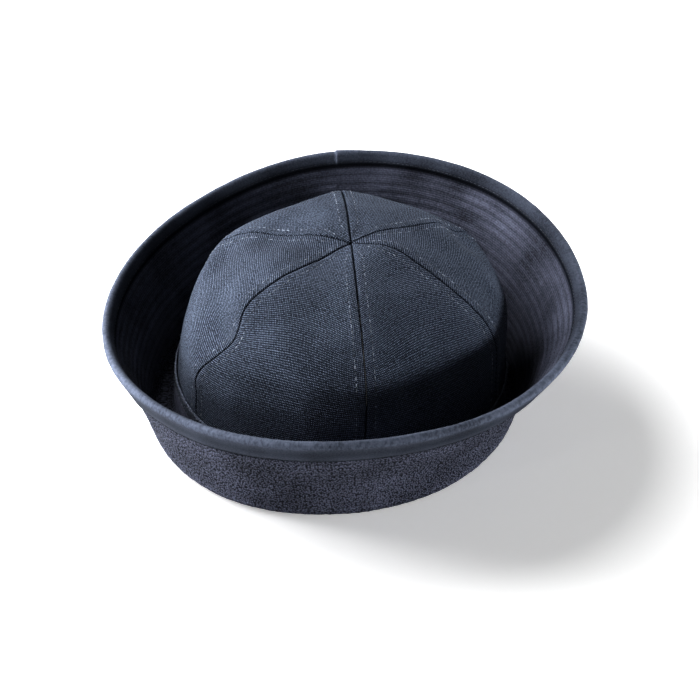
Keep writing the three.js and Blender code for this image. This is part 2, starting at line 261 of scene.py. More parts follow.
@dataclass
class Wall:
    """A closed wall of cloth between two grids of points, with a finer face than its back.

    The grids go by column and row. Each point of the face has its place on the flat cloth, how much paler it
    is drawn, for rubbed cloth and for painted highlights, and how much painted shade darkens it. A wall that
    wraps goes once round the cap, and turns is its length round on the flat cloth.
    """

    face: np.ndarray
    back: np.ndarray
    flat: np.ndarray
    wear_and_highlight: np.ndarray
    painted_shade: np.ndarray
    wraps: bool
    turns: float = 0.0

    @property
    def ratio(self) -> int:
        """How many steps of the face each step of the back spans."""
        return (self.face.shape[1] - 1) // (self.back.shape[1] - 1)

    def quads(self, grid: np.ndarray, start: int, flipped: bool) -> list[tuple[int, ...]]:
        """List the quads between a grid's neighbouring points.

        Args:
            grid: The grid.
            start: The number of its first point.
            flipped: Whether the quads go round the other way.

        Returns:
            The corners of each quad.
        """
        count, height = grid.shape[:2]
        spans = count if self.wraps else count - 1
        i, j = np.meshgrid(np.arange(spans), np.arange(height - 1), indexing="ij")
        ahead = (i + 1) % count
        corners = [i * height + j, ahead * height + j, ahead * height + j + 1, i * height + j + 1]
        if flipped:
            corners.reverse()
        return [tuple(quad) for quad in (np.stack(corners, -1).reshape(-1, 4) + start).tolist()]

    def polygons(self) -> list[tuple[int, ...]]:
        """List the wall's polygons.

        Returns:
            The corners of each polygon, which faces outwards.
        """
        columns, rows = self.face.shape[:2]
        back_columns, back_rows = self.back.shape[:2]
        base = columns * rows
        ratio = self.ratio
        faces = self.quads(self.face, 0, False) + self.quads(self.back, base, True)
        for span in range(back_columns if self.wraps else back_columns - 1):
            ahead = (span + 1) % back_columns
            edge = [((span * ratio + k) % columns) * rows for k in range(ratio + 1)]
            faces.append((base + span * back_rows, base + ahead * back_rows, *reversed(edge)))
            top = [corner + rows - 1 for corner in edge]
            far = back_rows - 1
            faces.append((*top, base + ahead * back_rows + far, base + span * back_rows + far))
        if not self.wraps:
            end = (columns - 1) * rows
            back_end = base + (back_columns - 1) * back_rows
            for row in range(back_rows - 1):
                side = [row * ratio + k for k in range(ratio + 1)]
                faces.append((*side, base + row + 1, base + row))
                other = [end + corner for corner in reversed(side)]
                faces.append((back_end + row, back_end + row + 1, *other))
        return faces

    def both(self, values: np.ndarray) -> np.ndarray:
        """Give the back's points the values of the face's points that lie over them.

        Args:
            values: A value for each point of the face.

        Returns:
            The values of the face's points, then those of the back's.
        """
        tail = values.shape[2:]
        coarse = values[:: self.ratio, :: self.ratio]
        return np.concatenate([values.reshape(-1, *tail), coarse.reshape(-1, *tail)])

    def build(self, name: str, shift: np.ndarray) -> bpy.types.Object:
        """Make the wall's object.

        Args:
            name: The piece's name.
            shift: What moves the cap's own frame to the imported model's, in millimetres.

        Returns:
            The object, at the origin.
        """
        points = np.concatenate([self.face.reshape(-1, 3), self.back.reshape(-1, 3)]) + shift
        mesh = bpy.data.meshes.new(name)
        mesh.from_pydata((points * MM).tolist(), [], self.polygons())

        loops = np.zeros(len(mesh.loops), int)
        mesh.loops.foreach_get("vertex_index", loops)
        starts = np.zeros(len(mesh.polygons), int)
        mesh.polygons.foreach_get("loop_start", starts)
        flat = self.both(self.flat)[loops] * MM
        if self.wraps:
            most = np.repeat(np.maximum.reduceat(flat[:, 0], starts), np.diff([*starts, len(loops)]))
            length = self.turns * MM
            flat[:, 0] += np.where(most - flat[:, 0] > length / 2, length, 0.0)
        layer = mesh.uv_layers.new(name=CLOTH_MAP)
        layer.data.foreach_set("uv", flat.astype(np.float32).ravel())
        # Store the paleness of rubbed cloth and painted highlights, then the painted shade of grooves and
        # valleys.
        for attribute, values in ((WEAR_AND_HIGHLIGHT, self.wear_and_highlight), (PAINTED_SHADE, self.painted_shade)):
            stored = mesh.attributes.new(attribute, "FLOAT", "POINT")
            stored.data.foreach_set("value", np.clip(self.both(values), 0, 1).astype(np.float32))
        mesh.shade_smooth()
        mesh.update()
        made = bpy.data.objects.new(name, mesh)
        bpy.context.scene.collection.objects.link(made)
        return made


def dress(piece: bpy.types.Object, finish: bpy.types.Material, nodes: tuple[str, ...]) -> None:
    """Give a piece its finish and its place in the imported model, and report it.

    Args:
        piece: The piece.
        finish: Its material.
        nodes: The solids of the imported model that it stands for.
    """
    if not piece.data.materials:
        piece.data.materials.append(finish)
    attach(piece, BODY)
    if nodes:
        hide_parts(*nodes)
    triangles = sum(len(polygon.vertices) - 2 for polygon in piece.data.polygons)
    log.info("%s: %d triangles", piece.name, triangles)


# ------------------------------------------------------------------------------------------------ finishes


class Graph:
    """Builds a node tree a node at a time."""

    def __init__(self, tree: bpy.types.NodeTree) -> None:
        """Start with an empty tree."""
        self.tree = tree
        tree.nodes.clear()

    def add(self, kind: str, inputs: dict[Any, Any] | None = None, **settings: Any) -> bpy.types.Node:
        """Add a node.

        Args:
            kind: The node's type.
            inputs: What goes into its sockets, by name or place: a socket to link, or a value.
            settings: The node's own settings.

        Returns:
            The node.
        """
        made = self.tree.nodes.new(kind)
        for key, value in settings.items():
            setattr(made, key, value)
        for key, value in (inputs or {}).items():
            if isinstance(value, bpy.types.NodeSocket):
                self.tree.links.new(value, made.inputs[key])
            else:
                made.inputs[key].default_value = value
        return made

    def sum(self, operation: str, *values: Any) -> bpy.types.NodeSocket:
        """The result of a Math node on sockets or numbers."""
        return self.add("ShaderNodeMath", dict(enumerate(values)), operation=operation).outputs[0]

    def mix(self, blend: str, factor: Any, first: Any, second: Any) -> bpy.types.NodeSocket:
        """The result of a Mix node on two colours."""
        inputs = {0: factor, 6: first, 7: second}
        return self.add("ShaderNodeMix", inputs, data_type="RGBA", blend_type=blend).outputs[2]

    def grain(self, coordinates: Any, scale: float, detail: float = 2.0) -> bpy.types.NodeSocket:
        """Smooth random values from 0 to 1 over the coordinates."""
        inputs = {"Vector": coordinates, "Scale": scale, "Detail": detail}
        return self.add("ShaderNodeTexNoise", inputs).outputs["Fac"]

    def spread(self, value: Any, low: float, high: float, to_low: float, to_high: float) -> Any:
        """A value carried from one range to another, and held inside it."""
        inputs = {0: value, 1: low, 2: high, 3: to_low, 4: to_high}
        return self.add("ShaderNodeMapRange", inputs, clamp=True).outputs[0]


class Weave(Enum):
    """How a cloth's ribs look."""

    TWILL = "twill"
    BRUSHED = "brushed"


@dataclass(frozen=True)
class Denim:
    """An indigo cloth whose ribs follow the piece's own flat cut.

    Sizes are in millimetres. The share of pale yarn is level where the pattern is at its mean, and contrast
    is how far the pattern moves it. Pebble is how strong the grain of gathered cloth is.
    """

    name: str
    deep: tuple[float, float, float]
    pale: tuple[float, float, float]
    weave: Weave = Weave.TWILL
    rib: float = 1.4
    yarn: float = 0.75
    slant: float = 0.0
    contrast: float = 1.0
    level: float = 0.25
    relief: float = 0.22
    pebble: float = 0.0
    grains: float = 0.7
    sheen: float = 0.03
    pattern_mean: float = 0.236
    # fade scales the paleness of rubbed cloth and of painted highlights together.
    fade: float = 0.6
    # The next two set the painted shade: how far it darkens the cloth, and the near-black colour it darkens
    # towards.
    painted_shade_depth: float = 0.92
    painted_shade_colour: tuple[float, float, float] = (0.004, 0.005, 0.008)
    sheen_tint: tuple[float, float, float] = (0.72, 0.8, 1.0)

    def threads(self, graph: Graph, place: Any) -> tuple[Any, Any]:
        """Weave the ribs and the yarns that cross them.

        Args:
            graph: The material's graph.
            place: The place on the flat cloth, in millimetres.

        Returns:
            How pale the threads are, and how high they stand.
        """
        split = graph.add("ShaderNodeSeparateXYZ", {0: place})
        across, up = split.outputs[0], split.outputs[1]
        wander = graph.sum("MULTIPLY", graph.grain(place, 0.16), 2.2)
        ribs_at = graph.sum("MULTIPLY_ADD", across, self.slant, up)
        phase = graph.sum("MULTIPLY_ADD", ribs_at, 2 * np.pi / self.rib, wander)
        rib = graph.spread(graph.sum("SINE", phase), -1.0, 1.0, 0.0, 1.0)
        row = graph.sum("FLOOR", graph.sum("DIVIDE", phase, 2 * np.pi))
        yarn_phase = graph.sum("MULTIPLY_ADD", across, 2 * np.pi / self.yarn, graph.sum("MULTIPLY", row, 2.1))
        yarn = graph.spread(graph.sum("SINE", yarn_phase), -1.0, 1.0, 0.1, 1.0)
        fleck = graph.spread(graph.grain(place, 0.9, 3.0), 0.36, 0.66, 0.0, 1.0)
        if self.weave is Weave.TWILL:
            thread = graph.sum("MULTIPLY", rib, yarn)
            pattern = graph.sum("MULTIPLY", thread, graph.sum("MULTIPLY_ADD", fleck, 0.9, 0.25))
        else:
            pattern = graph.sum("MULTIPLY", graph.sum("MULTIPLY_ADD", rib, 0.25, 0.45), fleck)
            thread = graph.sum("MULTIPLY_ADD", graph.sum("MULTIPLY", rib, yarn), 0.4, fleck)
        return pattern, graph.sum("MULTIPLY_ADD", graph.grain(place, 2.1, 2.0), 0.35, thread)

    def paleness(self, graph: Graph, place: Any, pattern: Any) -> Any:
        """Mottle the cloth, and make it paler where it is rubbed and where a highlight is painted.

        Args:
            graph: The material's graph.
            place: The place on the flat cloth, in millimetres.
            pattern: How pale the threads are.

        Returns:
            The share of pale yarn, which may still pass 0 and 1.
        """
        solid = graph.add("ShaderNodeTexCoord").outputs["Object"]
        mottle = graph.spread(graph.grain(solid, 34.0, 4.0), 0.3, 0.7, -0.12, 0.16)
        # This attribute holds rubbed cloth and painted highlights, such as the binding's lit crest and the
        # tape's upper edge.
        wear_and_highlight_mask = graph.add("ShaderNodeAttribute", attribute_name=WEAR_AND_HIGHLIGHT).outputs["Fac"]
        patchy = graph.spread(graph.grain(place, 0.45, 3.0), 0.35, 0.62, 0.4, 1.0)
        centred = graph.sum("SUBTRACT", pattern, self.pattern_mean)
        share = graph.sum("MULTIPLY_ADD", centred, self.contrast, graph.sum("ADD", mottle, self.level))
        return graph.sum("MULTIPLY_ADD", graph.sum("MULTIPLY", wear_and_highlight_mask, patchy), self.fade, share)

    def grain(self, graph: Graph, place: Any) -> Any:
        """Gather the cloth into small round grains.

        Args:
            graph: The material's graph.
            place: The place on the flat cloth, in millimetres.

        Returns:
            How high the grains stand.
        """
        inputs = {"Vector": place, "Scale": self.grains, "Randomness": 0.85}
        cells = graph.add("ShaderNodeTexVoronoi", inputs, voronoi_dimensions="2D")
        rounded = graph.spread(cells.outputs["Distance"], 0.1, 0.62, 1.0, 0.0)
        return graph.sum("MULTIPLY", rounded, self.pebble)

    def material(self) -> bpy.types.Material:
        """Build the cloth's material.

        Returns:
            The material, whose pattern reads the piece's cloth map, its paleness for rubbed cloth and painted
            highlights, and its painted shade.
        """
        made = bpy.data.materials.new(self.name)
        made.use_nodes = True
        graph = Graph(made.node_tree)
        flat = graph.add("ShaderNodeUVMap", uv_map=CLOTH_MAP).outputs[0]
        place = graph.add("ShaderNodeVectorMath", {0: flat, "Scale": 1 / MM}, operation="SCALE").outputs[0]
        pattern, height = self.threads(graph, place)
        share = self.paleness(graph, place, pattern)
        if self.pebble:
            grain = self.grain(graph, place)
            share = graph.sum("MULTIPLY_ADD", graph.sum("SUBTRACT", grain, 0.5 * self.pebble), 0.75, share)
            height = graph.sum("MULTIPLY_ADD", grain, 2.2, height)
        share = graph.spread(share, 0.0, 1.0, 0.0, 1.0)
        colour = graph.mix("MIX", share, (*self.deep, 1), (*self.pale, 1))
        # Painted shade: the cloth darkens towards near black in seam grooves, quilting valleys, under the
        # binding's edge and on the binding's rolled edges and down-facing face.
        sunk = graph.add("ShaderNodeAttribute", attribute_name=PAINTED_SHADE).outputs["Fac"]
        painted_shade_amount = graph.sum("MULTIPLY", sunk, self.painted_shade_depth)
        colour = graph.mix("MIX", painted_shade_amount, colour, (*self.painted_shade_colour, 1))
        relief = {"Height": height, "Strength": 1.0, "Distance": self.relief * MM}
        raised = graph.add("ShaderNodeBump", relief)
        rough = graph.spread(pattern, 0.0, 1.0, 0.95, 0.78)
        shader = graph.add(
            "ShaderNodeBsdfPrincipled",
            {
                "Base Color": colour,
                "Roughness": rough,
                "Normal": raised.outputs[0],
                # Gloss and sheen fade out where painted shade lies, so the shaded lines read darker.
                "Specular IOR Level": graph.spread(sunk, 0.0, 1.0, 0.25, 0.0),
                "Sheen Weight": graph.spread(sunk, 0.0, 1.0, self.sheen, 0.0),
                "Sheen Roughness": 0.45,
                "Sheen Tint": (*self.sheen_tint, 1),
            },
        )
        graph.add("ShaderNodeOutputMaterial", {"Surface": shader.outputs[0]})
        return made


@dataclass(frozen=True)
class Thread:
    """Sewing thread, a little paler than the cloth, darker where it is soiled."""

    name: str
    pale: tuple[float, float, float]
    deep: tuple[float, float, float]

    def material(self) -> bpy.types.Material:
        """Build the thread's material.

        Returns:
            The material.
        """
        made = bpy.data.materials.new(self.name)
        made.use_nodes = True
        graph = Graph(made.node_tree)
        solid = graph.add("ShaderNodeTexCoord").outputs["Object"]
        faded = graph.spread(graph.grain(solid, 190.0, 3.0), 0.4, 0.62, 0.0, 1.0)
        colour = graph.mix("MIX", faded, (*self.deep, 1), (*self.pale, 1))
        fibre = graph.grain(solid, 4200.0, 2.0)
        raised = graph.add("ShaderNodeBump", {"Height": fibre, "Strength": 0.6, "Distance": 0.05 * MM})
        rough = graph.spread(fibre, 0.3, 0.7, 0.6, 0.8)
        shader = graph.add(
            "ShaderNodeBsdfPrincipled",
            {
                "Base Color": colour,
                "Roughness": rough,
                "Normal": raised.outputs[0],
                "Specular IOR Level": 0.3,
                "Sheen Weight": 0.1,
            },
        )
        graph.add("ShaderNodeOutputMaterial", {"Surface": shader.outputs[0]})
        return made


CROWN_DENIM = Denim(
    "crown_denim",
    (0.011, 0.016, 0.028),
    (0.26, 0.315, 0.43),
    rib=1.25,
    yarn=1.0,
    contrast=1.7,
    level=0.26,
    relief=0.42,
)
BRIM_DENIM = Denim(
    "brim_denim",
    (0.01, 0.012, 0.02),
    (0.31, 0.335, 0.47),
    rib=1.3,
    contrast=0.25,
    level=0.33,
    relief=0.7,
    pebble=1.0,
)
LINING_DENIM = Denim(
    "lining_denim",
    (0.012, 0.014, 0.023),
    (0.27, 0.29, 0.4),
    rib=1.3,
    contrast=0.25,
    level=0.2,
    relief=0.2,
    pebble=0.15,
)
BINDING_DENIM = Denim(
    "binding_denim",
    (0.015, 0.019, 0.03),
    (0.16, 0.185, 0.25),
    Weave.BRUSHED,
    rib=1.1,
    contrast=0.22,
    level=0.15,
    relief=0.06,
)
TAPE_DENIM = Denim(
    "tape_denim", (0.01, 0.013, 0.021), (0.22, 0.25, 0.33), Weave.BRUSHED, rib=0.9, level=0.12, relief=0.12
)
SEWING_THREAD = Thread("sewing_thread", (0.42, 0.47, 0.56), (0.03, 0.036, 0.052))


# ------------------------------------------------------------------------------------------------ stitches


@dataclass
class Stitches:
    """Rows of machine stitches, each stitch a short bead of thread that dips into the cloth."""

    length: float = 2.3
    thickness: float = 0.42
    flattening: float = 0.8
    unevenness: float = 0.18
    seed: int = 5

    def tree(self) -> bpy.types.NodeTree:
        """Build the tree that sets a stitch on each point.

        Returns:
            The tree, with named inputs for the stitch's sizes, the material and the seed.
        """
        tree = bpy.data.node_groups.new("stitch_row", "GeometryNodeTree")
        sockets = (
            ("Geometry", "NodeSocketGeometry"),
            ("Length", "NodeSocketFloat"),
            ("Thickness", "NodeSocketFloat"),
            ("Flattening", "NodeSocketFloat"),
            ("Unevenness", "NodeSocketFloat"),
            ("Thread", "NodeSocketMaterial"),
            ("Seed", "NodeSocketInt"),
        )
        for name, kind in sockets:
            tree.interface.new_socket(name, in_out="INPUT", socket_type=kind)
        tree.interface.new_socket("Geometry", in_out="OUTPUT", socket_type="NodeSocketGeometry")
        graph = Graph(tree)
        given = graph.add("NodeGroupInput").outputs
        run = graph.add("GeometryNodeInputNamedAttribute", {"Name": "run"}, data_type="FLOAT_VECTOR")
        face = graph.add("GeometryNodeInputNamedAttribute", {"Name": "face"}, data_type="FLOAT_VECTOR")
        turn = graph.add(
            "FunctionNodeAxesToRotation",
            {0: run.outputs[0], 1: face.outputs[0]},
            primary_axis="X",
            secondary_axis="Z",
        )
        half = graph.sum("MULTIPLY", given["Length"], 0.5)
        radius = graph.sum("MULTIPLY", given["Thickness"], 0.5)
        low = graph.sum("MULTIPLY", radius, given["Flattening"])
        size = graph.add("ShaderNodeCombineXYZ", {0: half, 1: radius, 2: low})
        bead = graph.add("GeometryNodeMeshUVSphere", {"Segments": 6, "Rings": 4, "Radius": 1.0})
        stitch = graph.add(
            "GeometryNodeTransform", {"Geometry": bead.outputs["Mesh"], "Scale": size.outputs[0]}
        )
        shortest = graph.sum("SUBTRACT", 1.0, given["Unevenness"])
        longest = graph.sum("ADD", 1.0, given["Unevenness"])
        random = graph.add("FunctionNodeRandomValue", data_type="FLOAT")
        graph.tree.links.new(shortest, random.inputs[2])
        graph.tree.links.new(longest, random.inputs[3])
        graph.tree.links.new(given["Seed"], random.inputs["Seed"])
        rows = graph.add(
            "GeometryNodeInstanceOnPoints",
            {
                "Points": given["Geometry"],
                "Instance": stitch.outputs[0],
                "Rotation": turn.outputs[0],
                "Scale": random.outputs[1],
            },
        )
        real = graph.add("GeometryNodeRealizeInstances", {"Geometry": rows.outputs[0]})
        smooth = graph.add("GeometryNodeSetShadeSmooth", {"Geometry": real.outputs[0]})
        dyed = graph.add(
            "GeometryNodeSetMaterial", {"Geometry": smooth.outputs[0], "Material": given["Thread"]}
        )
        graph.add("NodeGroupOutput", {"Geometry": dyed.outputs[0]})
        return tree

    def sew(self, name: str, seats: "list[Seats]", thread: bpy.types.Material, shift: np.ndarray) -> None:
        """Sew rows of stitches as one piece.

        Args:
            name: The piece's name.
            seats: Where the stitches of each row sit.
            thread: The thread's material.
            shift: What moves the cap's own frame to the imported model's, in millimetres.
        """
        points = np.concatenate([row.points for row in seats]) + shift
        mesh = bpy.data.meshes.new(name + "_seats")
        mesh.from_pydata((points * MM).tolist(), [], [])
        for attribute, values in (("run", [row.run for row in seats]), ("face", [row.face for row in seats])):
            stored = mesh.attributes.new(attribute, "FLOAT_VECTOR", "POINT")
            stored.data.foreach_set("vector", np.concatenate(values).astype(np.float32).ravel())
        holder = bpy.data.objects.new(name + "_seats", mesh)
        bpy.context.scene.collection.objects.link(holder)
        modifier = holder.modifiers.new("stitches", "NODES")
        modifier.node_group = self.tree()
        values = {
            "Length": self.length * MM,
            "Thickness": self.thickness * MM,
            "Flattening": self.flattening,
            "Unevenness": self.unevenness,
            "Thread": thread,
            "Seed": self.seed,
        }
        for item in modifier.node_group.interface.items_tree:
            if item.in_out == "INPUT" and item.name in values:
                modifier[item.identifier] = values[item.name]
        depsgraph = bpy.context.evaluated_depsgraph_get()
        sewn = bpy.data.meshes.new_from_object(holder.evaluated_get(depsgraph))
        bpy.data.objects.remove(holder)
        piece = bpy.data.objects.new(name, sewn)
        bpy.context.scene.collection.objects.link(piece)
        dress(piece, thread, ())


@dataclass
class Seats:
    """Where the stitches of one row sit: their middles, the way they run, and the way the cloth faces."""

    points: np.ndarray
    run: np.ndarray
    face: np.ndarray

    @classmethod
    def between(cls, here: np.ndarray, ahead: np.ndarray, aside: np.ndarray) -> "Seats":
        """Work out the seats from points on the cloth.

        Args:
            here: The middles of the stitches.
            ahead: A point a little further along the row from each.
            aside: A point a little to one side of each, so that along, aside and out are right-handed.

        Returns:
            The seats.
        """
        run = ahead - here
        run /= np.linalg.norm(run, axis=-1, keepdims=True)
        face = np.cross(run, aside - here)
        face /= np.linalg.norm(face, axis=-1, keepdims=True)
        return cls(here, run, face)


# --------------------------------------------------------------------------------------------------- crown


@dataclass
class Crown:
    """Six gores of denim, sewn side to side, with their allowances pressed open and stitched down."""

    first_seam: float = -90.0
    centre_x: float = -1.6
    centre_y: float = -0.5
    cloth: float = 1.5
    allowance: float = 6.2
    allowance_rise: float = 0.26
    allowance_edge: float = 0.4
    allowance_wear: float = 0.12
    seam_wear: float = 0.2
    belly_sharpness: float = 1.4
    groove: float = 0.8
    groove_width: float = 0.55
    stitch_row: float = 5.2
    stitch_pitch: float = 3.1
    stitch_dip: float = 0.26
    foot_ease: float = 4.0
    wrinkle: float = 0.85
    wrinkle_size: float = 26.0
    small_wrinkle_size: float = 11.0
    pucker: float = 0.2
    pucker_size: tuple[float, float] = (3.4, 9.0)
    pucker_reach: float = 8.0
    grid: float = 1.15
    edge_columns: int = 14

    def seam_angle(self, seam: int, share: np.ndarray) -> np.ndarray:
        """The angle at which a seam stands, counted on from the one over the forehead."""
        stray = list(SEAM_STRAY.values())[seam % len(SEAM_STRAY)]
        return self.first_seam + 360 / len(SEAM_STRAY) * seam + along(stray, share)

    def dent_depth(self, angle: np.ndarray, radius: np.ndarray, height: np.ndarray) -> np.ndarray:
        """Read the table of dents.

        Args:
            angle: Angles round the crown, in degrees.
            radius: The distance of each place from the crown's axis.
            height: The height of each place.

        Returns:
            How far each place is pushed in.
        """
        depth = np.zeros(np.broadcast(angle, radius).shape)
        for dent in DENTS:
            turn = np.radians(np.mod(angle - dent.angle + 180, 360) - 180)
            aside = turn * (radius + dent.out) / 2 / dent.reach_around
            down = np.hypot(radius - dent.out, height - dent.height) / dent.reach_down
            depth += dent.depth * np.exp(-aside * aside - down * down)
        return depth

    def gore_point(self, gore: int, across: Any, share: Any, rise: Any) -> np.ndarray:
        """Points on the cloth of a gore.

        Args:
            gore: Which gore, counted from the seam over the forehead.
            across: The place between its seams, from 0 to 1.
            share: The place from the foot, 0, to the tip, 1.
            rise: How far the point is off the cloth's face.

        Returns:
            The points.
        """
        step = 0.01
        along_r = level("radius", share + step) - level("radius", share - step)
        along_z = level("height", share + step) - level("height", share - step)
        length = np.hypot(along_r, along_z)
        start = self.seam_angle(gore, share)
        angle = start + (self.seam_angle(gore + 1, share) - start) * across
        belly = np.sin(np.pi * np.clip(across, 0, 1)) ** self.belly_sharpness
        radius = level("radius", share) * (1 - level("flatness", share) * belly)
        height = level("height", share)
        out = rise - self.dent_depth(angle, radius, height)
        points = polar(angle, radius + out * along_z / length, height - out * along_r / length)
        points[..., 0] += self.centre_x + level("lean_x", share)
        points[..., 1] += self.centre_y + level("lean_y", share)
        return points

    def even_shares(self, count: int) -> tuple[np.ndarray, np.ndarray]:
        """Places that are evenly spaced along the crown's slope.

        Args:
            count: How many places.

        Returns:
            Their shares from foot to tip, and their distances from the foot.
        """
        fine = np.linspace(0, 1, 801)
        steps = np.hypot(np.diff(level("radius", fine)), np.diff(level("height", fine)))
        distance = np.concatenate([[0], np.cumsum(steps)])
        places = np.linspace(0, distance[-1], count)
        return np.interp(places, distance, fine), places

    def gore_width(self, gore: int, share: np.ndarray) -> np.ndarray:
        """A gore's width between its seams."""
        span = self.seam_angle(gore + 1, share) - self.seam_angle(gore, share)
        return level("radius", share) * np.radians(span)

    def relief(self, points: np.ndarray, seam: np.ndarray, up: np.ndarray, width: np.ndarray) -> np.ndarray:
        """How far the cloth's face stands off the plain form.

        Args:
            points: Points of the plain form.
            seam: The distance of each from the nearest seam.
            up: The distance of each from the foot.
            width: The gore's width there.

        Returns:
            The rise of each point.
        """
        allowance = np.minimum(self.allowance, 0.3 * width)
        row = np.minimum(self.stitch_row, 0.25 * width)
        open_foot = 1 - bump(up, self.foot_ease)
        lifted = self.allowance_rise * step_down(seam, allowance, self.allowance_edge) * open_foot
        groove = -self.groove * bump(seam, self.groove_width)
        beat = 0.7 + 0.3 * np.cos(2 * np.pi * up / self.stitch_pitch)
        sewn = -self.stitch_dip * bump(seam - row, 0.5) * beat
        rippled = noise(np.stack([up, seam], -1), self.pucker_size, 3) * np.exp(-seam / self.pucker_reach)
        soft = 0.7 * noise(points, self.wrinkle_size, 1) + 0.3 * noise(points, self.small_wrinkle_size, 2)
        return lifted + groove + sewn * open_foot + self.pucker * rippled + self.wrinkle * soft * open_foot

    def columns(self, width: np.ndarray, count: int) -> np.ndarray:
        """The distances of a gore's columns from its first seam.

        Args:
            width: The gore's width at each row.
            count: How many columns lie between the two sewn edges.

        Returns:
            A row of distances for each column.
        """
        edge = np.minimum(self.allowance + 2.0, 0.34 * width)
        gap = np.minimum(0.06, 0.1 * width)
        ease = np.linspace(0, 1, self.edge_columns, endpoint=False) ** 1.25
        near = gap + (edge - gap) * ease[:, None]
        middle = edge + (width - 2 * edge) * np.linspace(0, 1, count)[:, None]
        return np.concatenate([near, middle, (width - near)[::-1]])

    def gore(self, gore: int) -> Wall:
        """Build the cloth of one gore.

        Args:
            gore: Which gore.

        Returns:
            Its wall.
        """
        rows = 2 * int(self.even_shares(2)[1][-1] / self.grid / 2) + 1
        share, up = self.even_shares(rows)
        width = self.gore_width(gore, share)
        distance = self.columns(width, 2 * int(width[0] / self.grid / 2) - 15)
        across = distance / width
        shares = np.broadcast_to(share, across.shape)
        ups = np.broadcast_to(up, across.shape)
        widths = np.broadcast_to(width, across.shape)
        plain = self.gore_point(gore, across, shares, 0.0)
        seam = np.minimum(distance, width - distance)
        rise = self.relief(plain, seam, ups, widths)
        face = self.gore_point(gore, across, shares, rise)
        back = self.gore_point(gore, across[::2, ::2], shares[::2, ::2], -self.cloth)
        turn = np.radians(self.seam_angle(gore + 1, share) - self.seam_angle(gore, share)) * (across - 0.5)
        radius = level("radius", share)
        narrowing = -np.gradient(radius, up)
        flat = np.stack([turn * radius, ups + 0.5 * turn**2 * radius * narrowing], -1)
        allowance = np.minimum(self.allowance, 0.3 * widths)
        wear_and_highlight = self.allowance_wear * bump(seam - allowance, 0.7) + self.seam_wear * bump(seam - 1.1, 0.6)
        wear_and_highlight = wear_and_highlight * (0.6 + 0.4 * noise(np.stack([ups, seam], -1), (2.5, 2.0), 9))
        # The seam grooves carry painted shade.
        return Wall(face, back, flat, wear_and_highlight, bump(seam, 0.5), False)

    def seam_rows(self, gore: int) -> list[Seats]:
        """Seat the two rows of stitches of one gore.

        Args:
            gore: Which gore.

        Returns:
            The seats of the row along each of its seams.
        """
        count = int(self.even_shares(2)[1][-1] / self.stitch_pitch)
        share, up = self.even_shares(count)
        keep = (up > 5.0) & (self.gore_width(gore, share) > 11.0)
        share = share[keep]
        up = up[keep]
        width = self.gore_width(gore, share)
        rows = []
        for side in (0, 1):
            row = np.minimum(self.stitch_row, 0.25 * width)
            across = np.abs(side - row / width)
            plain = self.gore_point(gore, across, share, 0.0)
            rise = self.relief(plain, row, up, width) + 0.12
            here = self.gore_point(gore, across, share, rise)
            ahead = self.gore_point(gore, across, share + 0.004, rise)
            aside = self.gore_point(gore, across - 0.01, share, rise)
            rows.append(Seats.between(here, ahead, aside))
        return rows

    def build(self, shift: np.ndarray) -> None:
        """Build and dress the crown.

        Args:
            shift: What moves the cap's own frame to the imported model's, in millimetres.
        """
        cloth = CROWN_DENIM.material()
        rows: list[Seats] = []
        for gore in range(len(SEAM_STRAY)):
            piece = self.gore(gore).build(f"gore_cloth_{gore + 1}", shift)
            dress(piece, cloth, (f"crown_gore_{gore + 1}",))
            rows += self.seam_rows(gore)
        Stitches(length=2.2, thickness=0.46).sew("crown_stitches", rows, SEWING_THREAD.material(), shift)


# ---------------------------------------------------------------------------------------------------- brim


@dataclass(frozen=True)
class Ply:
    """What sets one of the cuff's two plies apart from the other.

    Side is 1 for the ply that faces away from the crown and -1 for the one that faces it. Covered is how far
    the binding reaches down it from the rim, and first_row how far down its first row of stitches may be.
    """

    name: str
    node: str
    side: int
    columns: int
    covered: float
    first_row: float
    pebbles: float
    seed: int
    # The next field makes the tops of the puffs paler, as rubbed cloth; the last scales the painted shade in
    # the valleys between them.
    wear_and_highlight: float
    painted_shade: float


OUTER_PLY = Ply(
    "outer_ply_cloth",
    "brim_outer_ply",
    side=1,
    columns=1040,
    covered=17.5,
    first_row=18.0,
    pebbles=1.0,
    seed=11,
    wear_and_highlight=0.12,
    painted_shade=0.35,
)
INNER_PLY = Ply(
    "inner_ply_cloth",
    "brim_inner_ply",
    side=-1,
    columns=800,
    covered=6.8,
    first_row=7.5,
    pebbles=0.28,
    seed=31,
    wear_and_highlight=0.55,
    painted_shade=0.8,
)


